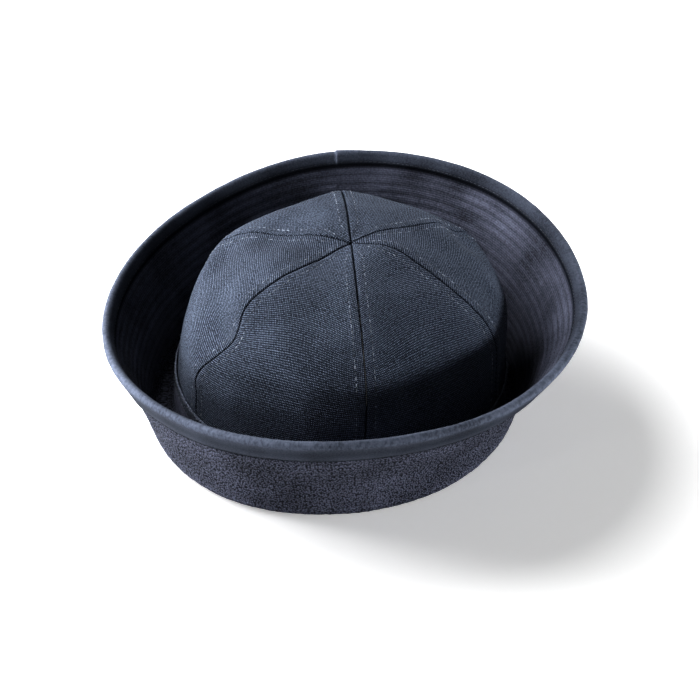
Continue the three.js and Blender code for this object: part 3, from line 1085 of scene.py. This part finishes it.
@dataclass
class Brim:
    """A quilted band: a stand sewn to the crown, folded at the surface and turned up as a cuff."""

    ply: float = 1.1
    ply_gap: float = 0.25
    gap: float = 0.3
    fold_height: float = 7.5
    fold_round: float = 0.36
    start_lean: float = 14.0
    handle: float = 0.36
    join_height: float = 25.0
    stand_radius: float = 95.6
    stand_lean_x: float = -2.6
    stand_lean_y: float = -0.3
    centre_x: float = -1.6
    centre_y: float = -0.5
    first_angle: float = 88.1
    quilt_pitch: float = 5.25
    first_quilt: float = 6.8
    quilt_depth: float = 0.5
    pebble_around: float = 2.0
    pebble_up: float = 2.0
    pebble_depth: float = 0.3
    quilt_stray: float = 0.7
    quilt_stray_size: float = 30.0
    stitch_pitch: float = 3.0
    chords: int = 96
    cuff_map_radius: float = 125.0
    stand_map_radius: float = 95.0
    fold_map_radius: float = 105.0

    @property
    def half(self) -> float:
        """Half the thickness of the two plies together."""
        return self.ply + self.ply_gap / 2

    def ring(self, count: int) -> np.ndarray:
        """Angles that go once round the cap, from the seam at the back."""
        return self.first_angle + 360 * np.arange(count) / count

    def controls(self, angle: np.ndarray) -> list[np.ndarray]:
        """Place the control points of the cuff's middle line.

        Args:
            angle: Angles round the cap, in degrees.

        Returns:
            The four control points at each angle, as distances out and heights.
        """
        fold = around("fold_radius", angle) - self.half
        foot = np.stack([fold, np.full(angle.shape, self.fold_height)], -1)
        rim = np.stack([around("rim_radius", angle), around("rim_height", angle)], -1) - self.half
        reach = self.handle * np.linalg.norm(rim - foot, axis=-1, keepdims=True)
        start = np.radians(np.full(angle.shape, self.start_lean))
        end = np.radians(around("rim_lean", angle))
        leave = np.stack([np.sin(start), np.cos(start)], -1)
        arrive = np.stack([np.sin(end), np.cos(end)], -1)
        return [foot, foot + leave * reach, rim - arrive * reach, rim]

    def cuff(self, angle: np.ndarray, down: Any, out: Any, past: Any = 0.0) -> np.ndarray:
        """Points of the cuff.

        Args:
            angle: An angle for each column.
            down: The distance below the rim, down the slope, for each column and row.
            out: The distance off the middle of the thickness, away from the crown.
            past: The distance on up the slope.

        Returns:
            The points, by column and row.
        """
        down = np.asarray(down, float)
        down = np.broadcast_to(down, (len(angle), down.shape[-1]))
        run = np.cumsum(self.chord_lengths(angle), axis=1)
        run = np.concatenate([np.zeros((len(angle), 1)), run], axis=1)
        even = np.linspace(0, 1, self.chords + 1)
        at = np.stack([np.interp(run[i, -1] - down[i], run[i], even) for i in range(len(angle))])
        t = at[..., None]
        corners = [point[:, None, :] for point in self.controls(angle)]
        point = cubic(corners, t)
        a, b, c, d = corners
        slope = (b - a) * (1 - t) ** 2 + 2 * (c - b) * (1 - t) * t + (d - c) * t**2
        slope /= np.linalg.norm(slope, axis=-1, keepdims=True)
        radius = point[..., 0] + slope[..., 1] * out + slope[..., 0] * past
        height = point[..., 1] - slope[..., 0] * out + slope[..., 1] * past
        return polar(angle[:, None], radius, height)

    def chord_lengths(self, angle: np.ndarray) -> np.ndarray:
        """Measure short chords along the cuff's middle line.

        Args:
            angle: Angles round the cap, in degrees.

        Returns:
            The length of each chord at each angle, from the foot to the rim.
        """
        even = np.linspace(0, 1, self.chords + 1)[None, :, None]
        curve = cubic([point[:, None, :] for point in self.controls(angle)], even)
        return np.linalg.norm(np.diff(curve, axis=1), axis=-1)

    def cuff_length(self, angle: np.ndarray) -> np.ndarray:
        """The cuff's length down its slope at each angle."""
        return self.chord_lengths(angle).sum(axis=1)

    def round_by(self, angle: np.ndarray, radius: float, rows: int = 1) -> np.ndarray:
        """The distance round the cap, on the flat cloth, for each column and row."""
        return np.radians(angle - angle[0])[:, None] * np.full((1, rows), radius)

    def quilted(self, round_by: np.ndarray, down: np.ndarray, pebbles: float, seed: int) -> np.ndarray:
        """The rise of quilted cloth: a puff between each two rows of stitches, gathered into pebbles.

        Args:
            round_by: The distance round the cap.
            down: The distance below the rim.
            pebbles: How strongly the puffs are gathered, from 0 to 1.
            seed: Picks the pattern.

        Returns:
            The rise, which is about 0 in the middle.
        """
        flat = np.stack(np.broadcast_arrays(round_by, down), -1)
        stray = self.quilt_stray * noise(flat, self.quilt_stray_size, seed)
        place = (down - self.first_quilt + stray) / self.quilt_pitch
        puff = np.abs(np.sin(np.pi * place)) ** 0.75
        uneven = 0.8 + 0.35 * noise(flat, (24.0, 6.0), seed + 1)
        coarse = noise(flat, (self.pebble_around, self.pebble_up), seed + 2)
        fine = noise(flat, (self.pebble_around * 0.6, self.pebble_up * 0.5), seed + 3)
        gathered = pebbles * self.pebble_depth * (0.75 * coarse + 0.35 * fine)
        return self.quilt_depth * (puff * uneven - 0.55) + gathered

    def foot_past(self, foot: np.ndarray, out: float) -> np.ndarray:
        """How far up the slope a ply's first row stands, so that its foot is level, a gap above the fold."""
        turn = np.radians(self.start_lean)
        return np.where(foot < 0.01, (self.gap + out * np.sin(turn)) / np.cos(turn), 0.0)

    def ply_wall(self, ply: Ply, rows: int = 85) -> Wall:
        """Build one of the cuff's two plies.

        Args:
            ply: Which ply.
            rows: How many rows go down.

        Returns:
            Its wall.
        """
        angle = self.ring(ply.columns)
        length = self.cuff_length(angle)
        down = length[:, None] * np.linspace(1, 0, rows)[None, :]
        round_by = self.round_by(angle, self.cuff_map_radius, rows)
        foot = length[:, None] - down
        free = (1 - step_down(down, ply.covered + 1.0, 0.5)) * (1 - bump(foot, 2.5))
        rise = self.quilted(round_by, down, ply.pebbles, ply.seed) * free
        face_off = ply.side * self.half
        back_off = ply.side * self.ply_gap / 2
        face = self.cuff(angle, down, ply.side * (self.half + rise), self.foot_past(foot, face_off))
        past = self.foot_past(foot, back_off)[::4, ::4]
        back = self.cuff(angle[::4], down[::4, ::4], back_off, past)
        flat = np.stack([round_by, -down], -1)
        wear_and_highlight = ply.wear_and_highlight * np.clip(rise / 0.5, 0, 1)
        # Painted shade in the valleys between the puffs, and a painted shadow in a line just below the
        # binding's lower edge.
        painted_shade = ply.painted_shade * np.clip(-rise / 0.9, 0, 1)
        painted_shade = np.maximum(painted_shade, bump(down - ply.covered - 0.2, 1.4))
        grids = [values[:: ply.side] for values in (face, back, flat, wear_and_highlight, painted_shade)]
        return Wall(*grids, True, 2 * np.pi * self.cuff_map_radius)

    def join_radius(self, angle: np.ndarray, height: Any, radius: Any) -> np.ndarray:
        """Find a circle round the crown's foot, whose middle slides away below the join.

        Args:
            angle: Angles round the cap's own middle, in degrees.
            height: Heights, which say where the circle's middle is.
            radius: The circle's radius at each place.

        Returns:
            The distance from the cap's own middle to the circle.
        """
        below = np.maximum(0, self.join_height - height) / (self.join_height - self.fold_height)
        x = self.centre_x + self.stand_lean_x * below
        y = self.centre_y + self.stand_lean_y * below
        turn = np.radians(angle)
        ahead = x * np.cos(turn) + y * np.sin(turn)
        aside = y * np.cos(turn) - x * np.sin(turn)
        return ahead + np.sqrt(radius * radius - aside * aside)

    def stand(self, columns: int = 560, rows: int = 25) -> Wall:
        """Build the upright part of the brim.

        Args:
            columns: How many columns go round.
            rows: How many rows go up.

        Returns:
            Its wall.
        """
        angle = self.ring(columns)
        height = np.linspace(self.fold_height + self.gap, self.join_height - self.gap, rows)[None, :]
        round_by = self.round_by(angle, self.stand_map_radius, rows)
        rise = np.minimum(self.quilted(round_by, height + np.zeros_like(round_by), 0.4, 51), 0.2)
        outer = self.join_radius(angle[:, None], height, self.stand_radius + rise)
        face = polar(angle[:, None], outer, height)
        inside = self.stand_radius - 2 * self.half
        inner = self.join_radius(angle[::2, None], height[:, ::2], inside - 0.5 * rise[::2, ::2])
        back = polar(angle[::2, None], inner, height[:, ::2])
        flat = np.stack([round_by, height + np.zeros_like(round_by)], -1)
        # Painted shade in the quilting valleys, and the cloth outside them drawn a little paler.
        painted_shade = np.clip(-rise / 0.9, 0, 1)
        turns = 2 * np.pi * self.stand_map_radius
        return Wall(face, back, flat, 0.3 * (1 - painted_shade), painted_shade, True, turns)

    def fold_line(self, angle: np.ndarray, out: np.ndarray, turns: int) -> np.ndarray:
        """Points across the fold, from the foot of the stand to the foot of the cuff.

        Args:
            angle: An angle for each column.
            out: The distance off the middle of the thickness, for each column and row.
            turns: How many steps each round corner has.

        Returns:
            The points, by column and row.
        """
        at = angle[:, None]
        stand = self.join_radius(at, self.fold_height, self.stand_radius - self.half)
        cuff = around("fold_radius", at) - self.half
        corner = self.fold_round * (cuff - stand)
        drop = self.fold_height - self.half
        first = np.radians(180 + 90 * np.linspace(0, 1, turns + 1))[None, :]
        second = np.radians(270 + 90 * np.linspace(0, 1, turns + 1))[None, :]
        half = turns + 1
        radius = np.concatenate(
            [
                stand + corner + (corner + out[:, :half]) * np.cos(first),
                cuff - corner + (corner + out[:, half:]) * np.cos(second),
            ],
            axis=1,
        )
        turn = np.concatenate([first, second], axis=1)
        return polar(at, radius, self.fold_height + (drop + out) * np.sin(turn))

    def fold(self, columns: int = 600, turns: int = 8) -> Wall:
        """Build the fold that lies on the surface.

        Args:
            columns: How many columns go round.
            turns: How many steps each round corner has, an even number less one.

        Returns:
            Its wall.
        """
        angle = self.ring(columns)
        rows = 2 * turns + 2
        round_by = self.round_by(angle, self.fold_map_radius, rows)
        down = 72.0 + 1.6 * np.arange(rows)[None, :] + np.zeros_like(round_by)
        ends = np.abs(np.linspace(-1, 1, rows))[None, :] ** 4
        rise = np.minimum(self.quilted(round_by, down, 0.8, 71) - 0.35, 0.0) * (1 - ends)
        face = self.fold_line(angle, self.half + rise, turns)
        back = self.fold_line(angle, np.full_like(rise, -self.half), turns)
        flat = np.stack([round_by, -down], -1)
        # Painted shade in the quilting valleys, and the cloth outside them drawn a little paler.
        painted_shade = np.clip(-rise / 1.2, 0, 1)
        turns = 2 * np.pi * self.fold_map_radius
        return Wall(face, back, flat, 0.3 * (1 - painted_shade), painted_shade, True, turns)

    def quilting(self) -> list[Seats]:
        """Seat the rows of quilting stitches that show on the cuff.

        Returns:
            The seats of each row, on both faces.
        """
        rows = []
        shortest = float(self.cuff_length(self.ring(72)).min())
        for ply in (OUTER_PLY, INNER_PLY):
            for index in range(int((shortest - self.first_quilt) / self.quilt_pitch)):
                row = self.first_quilt + self.quilt_pitch * index
                if row < ply.first_row:
                    continue
                angle = self.ring(int(800 / self.stitch_pitch))
                round_by = self.round_by(angle, self.cuff_map_radius)
                flat = np.stack([round_by, np.full_like(round_by, row)], -1)
                down = row - self.quilt_stray * noise(flat, self.quilt_stray_size, ply.seed)
                out = ply.side * (self.half + self.quilted(round_by, down, 0.2, ply.seed) + 0.22)
                here = self.cuff(angle, down, out)[:, 0]
                ahead = self.cuff(angle + 0.2, down, out)[:, 0]
                aside = self.cuff(angle, down - 0.4 * ply.side, out)[:, 0]
                rows.append(Seats.between(here, ahead, aside))
        return rows

    def build(self, shift: np.ndarray) -> None:
        """Build and dress the brim.

        Args:
            shift: What moves the cap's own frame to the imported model's, in millimetres.
        """
        outside = BRIM_DENIM.material()
        inside = LINING_DENIM.material()
        walls = (
            (OUTER_PLY.name, self.ply_wall(OUTER_PLY), outside, OUTER_PLY.node),
            (INNER_PLY.name, self.ply_wall(INNER_PLY), inside, INNER_PLY.node),
            ("stand_cloth", self.stand(), inside, "brim_stand"),
            ("fold_cloth", self.fold(), outside, "brim_fold"),
        )
        for name, wall, cloth, node in walls:
            dress(wall.build(name, shift), cloth, (node,))
        thread = Thread("quilting_thread", (0.05, 0.06, 0.09), (0.012, 0.015, 0.024)).material()
        Stitches(length=2.0, thickness=0.36, seed=9).sew("quilting_stitches", self.quilting(), thread, shift)


@dataclass
class Binding:
    """A strip folded over the rim, its end lapped over its start at the back."""

    brim: Brim
    cloth: float = 1.0
    outside: float = 17.0
    inside: float = 6.5
    lap_spread: float = 8.0
    lap_rise: float = 0.95
    stitch_row: float = 1.7
    stitch_pitch: float = 3.0
    closing_gap: float = 0.2
    crest_wear_and_highlight: float = 0.95
    end_wear: float = 0.9
    map_radius: float = 137.0
    rows: int = 45
    crowding: float = 0.09

    @property
    def under(self) -> float:
        """How far the strip's underside is off the middle of the brim."""
        return self.brim.half + self.brim.gap

    def path(self, angle: np.ndarray, places: np.ndarray, off: np.ndarray) -> np.ndarray:
        """Points across the strip.

        Args:
            angle: An angle for each column.
            places: The distance of each row from the outside edge, measured on the underside.
            off: The distance off the middle of the brim, for each column and row.

        Returns:
            The points, by column and row.
        """
        arc = np.pi * self.under
        turn = np.clip((places - self.outside) / arc, 0, 1) * np.pi
        down = np.where(places < self.outside, self.outside - places, 0.0)
        down = np.where(places > self.outside + arc, places - self.outside - arc, down)
        out = off * np.cos(turn)[None, :]
        past = off * np.sin(turn)[None, :]
        return self.brim.cuff(angle, np.broadcast_to(down, off.shape), out, past)

    def places(self) -> np.ndarray:
        """Place the strip's rows, closer together at both edges.

        Returns:
            The distance of each row from the outside edge.
        """
        width = self.outside + np.pi * self.under + self.inside
        even = np.linspace(0, 1, self.rows)
        return width * (even - self.crowding * np.sin(2 * np.pi * even))

    def relief(self, round_by: np.ndarray, places: np.ndarray) -> np.ndarray:
        """Roll the strip's edges and ripple its face.

        Args:
            round_by: The distance round the cap, for each column.
            places: The distance of each row from the outside edge, whose last one is the strip's width.

        Returns:
            How far the face stands off the plain form, for each column and row.
        """
        width = places[..., -1:]
        flat = np.stack(np.broadcast_arrays(round_by, places), -1)
        edge = np.minimum(places, width - places)
        rolled = -0.75 * bump(edge, 0.55)
        sewn = -0.24 * bump(edge - self.stitch_row, 0.6)
        soft = 0.22 * noise(flat, (26.0, 12.0), 81) + 0.1 * noise(flat, (6.0, 5.0), 82)
        ticks = 0.1 * noise(flat, (1.9, 4.0), 83) * np.exp(-edge / 4.0)
        return rolled + sewn + soft + ticks

    def lap(self, angle: np.ndarray) -> np.ndarray:
        """How far the lapped end stands off the strip at each angle: a step, then a slow fall."""
        before = self.brim.first_angle + 360 - angle
        return np.where(before < self.lap_spread, self.lap_rise * (1 - before / self.lap_spread), 0.0)

    def wall(self, columns: int = 760) -> Wall:
        """Build the strip.

        Args:
            columns: How many columns go round.

        Returns:
            Its wall.
        """
        first = self.brim.first_angle
        angle = np.linspace(first, first + 360 - self.closing_gap, columns)
        places = self.places()
        round_by = self.brim.round_by(angle, self.map_radius)
        lift = self.lap(angle)[:, None]
        off = self.under + self.cloth + lift + self.relief(round_by, places[None, :])
        face = self.path(angle, places, off)
        back = self.path(angle[::2], places[::2], np.full((columns // 2, len(places[::2])), self.under))
        flat = np.stack(np.broadcast_arrays(round_by, places[None, :]), -1)
        edge = np.minimum(places, places[-1] - places)[None, :]
        # The crest where the strip turns over the rim is drawn paler, partly as rubbed cloth and partly as a
        # painted highlight where light falls on its top.
        top = bump(places[None, :] - self.outside - np.pi * self.under / 2 + 0.6, 2.2)
        wear_and_highlight = self.crest_wear_and_highlight * top + 0.12 * bump(places[None, :] - 3.6, 1.8) + 0.0 * round_by
        step = bump((first + 360 - self.closing_gap - angle)[:, None], 0.35)
        # Painted shade on the strip's rolled edges and down the middle of its outer face, which faces down.
        painted_shade = bump(edge, 2.2) + 0.3 * bump(places[None, :] - 9.5, 4.0) + 0.0 * round_by
        turns = 2 * np.pi * self.map_radius
        return Wall(face, back, flat, wear_and_highlight + self.end_wear * step, painted_shade, True, turns)

    def edge_rows(self) -> list[Seats]:
        """Seat the rows of stitches along both edges of the strip.

        Returns:
            The seats of each row.
        """
        first = self.brim.first_angle
        angle = np.linspace(first + 0.4, first + 359.4, int(860 / self.stitch_pitch))
        places = self.places()
        rows = []
        for place in (self.stitch_row, places[-1] - self.stitch_row):
            at = np.array([place])
            round_by = np.radians(angle - first)[:, None] * self.map_radius
            line = np.array([[place, places[-1]]])
            rise = self.relief(round_by, line)[:, :1] + 0.1
            off = self.under + self.cloth + self.lap(angle)[:, None] + rise
            here = self.path(angle, at, off)[:, 0]
            ahead = self.path(angle + 0.2, at, off)[:, 0]
            aside = self.path(angle, at + 0.4, off)[:, 0]
            rows.append(Seats.between(here, ahead, aside))
        return rows

    def build(self, shift: np.ndarray) -> None:
        """Build and dress the binding.

        Args:
            shift: What moves the cap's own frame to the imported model's, in millimetres.
        """
        piece = self.wall().build("binding_cloth", shift)
        dress(piece, BINDING_DENIM.material(), ("rim_binding",))
        thread = Thread("binding_thread", (0.06, 0.07, 0.095), (0.012, 0.015, 0.022)).material()
        Stitches(length=2.2, thickness=0.36, seed=13).sew("binding_stitches", self.edge_rows(), thread, shift)


@dataclass
class JoinTape:
    """A narrow tape sewn over the join between the crown and the brim."""

    brim: Brim
    cloth: float = 1.0
    below: float = 3.5
    above: float = 3.5
    stitch_row: float = 1.1
    stitch_pitch: float = 2.9
    edge_roll: float = 0.5
    stitch_dip: float = 0.2
    ripple: float = 0.15
    map_radius: float = 97.0

    def wall(self, columns: int = 560, rows: int = 17) -> Wall:
        """Build the tape.

        Args:
            columns: How many columns go round.
            rows: How many rows go up.

        Returns:
            Its wall.
        """
        brim = self.brim
        angle = brim.ring(columns)
        base = brim.stand_radius + brim.gap
        up = np.linspace(0, self.below + self.above, rows)[None, :]
        height = brim.join_height - self.below + up
        round_by = brim.round_by(angle, self.map_radius)
        flat = np.stack(np.broadcast_arrays(round_by, up), -1)
        edge = np.minimum(up, up[:, -1:] - up)
        sunk = self.edge_roll * bump(edge, 0.45) + self.stitch_dip * bump(edge - self.stitch_row, 0.4)
        rise = self.ripple * noise(flat, (3.5, 3.0), 91) - sunk
        outer = brim.join_radius(angle[:, None], height, base + self.cloth + rise)
        face = polar(angle[:, None], outer, height)
        inner = brim.join_radius(angle[::2, None], height[:, ::2], base)
        back = polar(angle[::2, None], inner, height[:, ::2])
        # A painted highlight along the tape's upper edge, drawn as paler cloth.
        wear_and_highlight = bump(up[:, -1:] - up - 0.3, 0.5) + 0.0 * round_by
        return Wall(face, back, flat, wear_and_highlight, 0.0 * rise, True, 2 * np.pi * self.map_radius)

    def edge_rows(self) -> list[Seats]:
        """Seat the rows of stitches along both edges of the tape.

        Returns:
            The seats of each row.
        """
        brim = self.brim
        angle = brim.ring(int(600 / self.stitch_pitch))
        radius = brim.stand_radius + brim.gap + self.cloth + 0.02
        rows = []
        for up in (self.stitch_row, self.below + self.above - self.stitch_row):
            height = brim.join_height - self.below + up
            here = polar(angle, brim.join_radius(angle, height, radius), height)
            ahead = polar(angle + 0.2, brim.join_radius(angle + 0.2, height, radius), height)
            aside = polar(angle, brim.join_radius(angle, height + 0.4, radius), height + 0.4)
            rows.append(Seats.between(here, ahead, aside))
        return rows

    def build(self, shift: np.ndarray) -> None:
        """Build and dress the tape.

        Args:
            shift: What moves the cap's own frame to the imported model's, in millimetres.
        """
        piece = self.wall().build("tape_cloth", shift)
        dress(piece, TAPE_DENIM.material(), ("join_tape",))
        thread = Thread("tape_thread", (0.2, 0.22, 0.27), (0.015, 0.02, 0.03)).material()
        Stitches(length=2.1, thickness=0.42, seed=17).sew("tape_stitches", self.edge_rows(), thread, shift)


# -------------------------------------------------------------------------------------------------- studio


@dataclass(frozen=True)
class Softbox:
    """A broad round lamp that looks at the cap."""

    name: str
    place: tuple[float, float, float]
    across: float
    power: float

    def hang(self) -> None:
        """Hang the lamp."""
        lamp = bpy.data.lights.new(self.name, "AREA")
        lamp.shape = "DISK"
        lamp.size = self.across
        lamp.energy = self.power
        made = bpy.data.objects.new(self.name, lamp)
        made.location = self.place
        made.rotation_euler = (Vector((0, 0, 0.05)) - made.location).to_track_quat("-Z", "Y").to_euler()
        bpy.context.scene.collection.objects.link(made)


SOFTBOXES = (
    Softbox("key", (-1.2, 0.84, 1.14), 1.9, 94.0),
    Softbox("side", (-1.66, 0.5, 0.36), 0.5, 28.0),
    Softbox("front", (-1.6, -0.8, 0.05), 0.14, 19.0),
    Softbox("fill", (1.75, -0.4, 0.1), 0.3, 44.0),
)


@dataclass
class Studio:
    """A plain pale floor, the soft lamps, a dim sky that is brighter low down on one side, and the camera.

    The sky's strength falls from the horizon's to its own at the height horizon_top, and the horizon's goes
    from horizon on the bright side to horizon_dim across from it. A contrast under 1 darkens the middle
    tones of the picture. The camera's numbers are millimetres and degrees, with the camera due in front, and
    turn is how far it goes round from the forehead.
    """

    floor_size: float = 14.0
    floor_white: float = 0.86
    sky: float = 0.11
    horizon: float = 1.0
    horizon_dim: float = 0.22
    horizon_top: float = 0.42
    bright_side: tuple[float, float, float] = (-0.85, 0.5, 0.0)
    floor_glow: float = 0.42
    contrast: float = 0.78
    lens: float = 110.0
    distance: float = 1230.0
    elevation: float = 37.0
    turn: float = 4.0
    pivot_height: float = 60.0
    slide_x: float = 0.1
    slide_y: float = -3.5
    aim: tuple[float, float, float] = (3.6, -13.1, 42.6)

    def floor(self) -> None:
        """Lay the floor."""
        half = self.floor_size / 2
        mesh = bpy.data.meshes.new("floor")
        corners = [(-half, -half, 0), (half, -half, 0), (half, half, 0), (-half, half, 0)]
        mesh.from_pydata(corners, [], [(0, 1, 2, 3)])
        made = bpy.data.materials.new("floor_white")
        made.use_nodes = True
        graph = Graph(made.node_tree)
        seen = graph.add("ShaderNodeLightPath").outputs["Is Camera Ray"]
        shader = graph.add(
            "ShaderNodeBsdfPrincipled",
            {
                "Base Color": (self.floor_white,) * 3 + (1,),
                "Roughness": 1.0,
                "Specular IOR Level": 0.0,
                "Emission Color": (1.0, 1.0, 1.0, 1),
                "Emission Strength": graph.sum("MULTIPLY", seen, self.floor_glow),
            },
        )
        graph.add("ShaderNodeOutputMaterial", {"Surface": shader.outputs[0]})
        mesh.materials.append(made)
        floor = bpy.data.objects.new("floor", mesh)
        bpy.context.scene.collection.objects.link(floor)

    def lights(self) -> None:
        """Hang the lights."""
        world = bpy.data.worlds.new("studio")
        world.use_nodes = True
        graph = Graph(world.node_tree)
        way = graph.add("ShaderNodeTexCoord").outputs["Generated"]
        height = graph.add("ShaderNodeSeparateXYZ", {0: way}).outputs[2]
        bright = graph.add("ShaderNodeVectorMath", {0: way, 1: self.bright_side}, operation="DOT_PRODUCT")
        horizon = graph.spread(bright.outputs["Value"], -1.0, 1.0, self.horizon_dim, self.horizon)
        strength = graph.add(
            "ShaderNodeMapRange",
            {0: height, 1: 0.0, 2: self.horizon_top, 3: horizon, 4: self.sky},
            interpolation_type="SMOOTHERSTEP",
        )
        background = graph.add(
            "ShaderNodeBackground", {"Color": (1.0, 1.0, 1.0, 1), "Strength": strength.outputs[0]}
        )
        graph.add("ShaderNodeOutputWorld", {"Surface": background.outputs[0]})
        bpy.context.scene.world = world
        for softbox in SOFTBOXES:
            softbox.hang()

    def in_frame(self, point: np.ndarray, shift: np.ndarray) -> Vector:
        """Carry a point of the camera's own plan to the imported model's frame.

        Args:
            point: The point, in millimetres, with the camera due in front.
            shift: What moves the cap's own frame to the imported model's, in millimetres.

        Returns:
            The point in metres.
        """
        x = point[0] - self.slide_x
        y = point[1] - self.slide_y
        cos = np.cos(np.radians(-self.turn))
        sin = np.sin(np.radians(-self.turn))
        turned = np.array([x * cos - y * sin, x * sin + y * cos, point[2]])
        return Vector((turned + shift) * MM)

    def camera(self, shift: np.ndarray) -> None:
        """Set up the camera.

        Args:
            shift: What moves the cap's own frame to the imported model's, in millimetres.
        """
        lens = bpy.data.cameras.new("camera")
        lens.lens = self.lens
        lens.sensor_width = 36.0
        made = bpy.data.objects.new("camera", lens)
        rise = np.radians(self.elevation)
        stand = np.array([0, -np.cos(rise), np.sin(rise)]) * self.distance + [0, 0, self.pivot_height]
        made.location = self.in_frame(stand, shift)
        look = self.in_frame(np.array(self.aim), shift) - made.location
        made.rotation_euler = look.to_track_quat("-Z", "Y").to_euler()
        bpy.context.scene.collection.objects.link(made)
        bpy.context.scene.camera = made

    def build(self, shift: np.ndarray) -> None:
        """Build the studio.

        Args:
            shift: What moves the cap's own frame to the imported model's, in millimetres.
        """
        self.floor()
        self.lights()
        self.camera(shift)
        view = bpy.context.scene.view_settings
        view.view_transform = "Standard"
        view.look = "None"
        view.gamma = self.contrast


def frame_shift(brim: Brim) -> np.ndarray:
    """Find what moves the cap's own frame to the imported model's.

    Args:
        brim: The brim, whose fold is the same in both.

    Returns:
        The move, in millimetres.
    """
    low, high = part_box("brim_fold")
    angle = np.arange(56) * 360 / 56
    out = np.full((len(angle), 6), brim.half)
    fold = brim.fold_line(angle, out, 2)
    middle = (fold.reshape(-1, 3).min(0) + fold.reshape(-1, 3).max(0)) / 2
    packed = np.array((low + high) / 2) / MM
    return np.array([packed[0] - middle[0], packed[1] - middle[1], 0.0])


def main() -> None:
    """Build the cap and the studio."""
    logging.basicConfig(level=logging.INFO, format="%(name)s: %(message)s")
    brim = Brim()
    shift = frame_shift(brim)
    log.info("the cap's middle is at %.3f, %.3f mm", shift[0], shift[1])
    Studio().build(shift)
    Crown().build(shift)
    JoinTape(brim).build(shift)
    brim.build(shift)
    Binding(brim).build(shift)


if __name__ == "__main__":
    main()
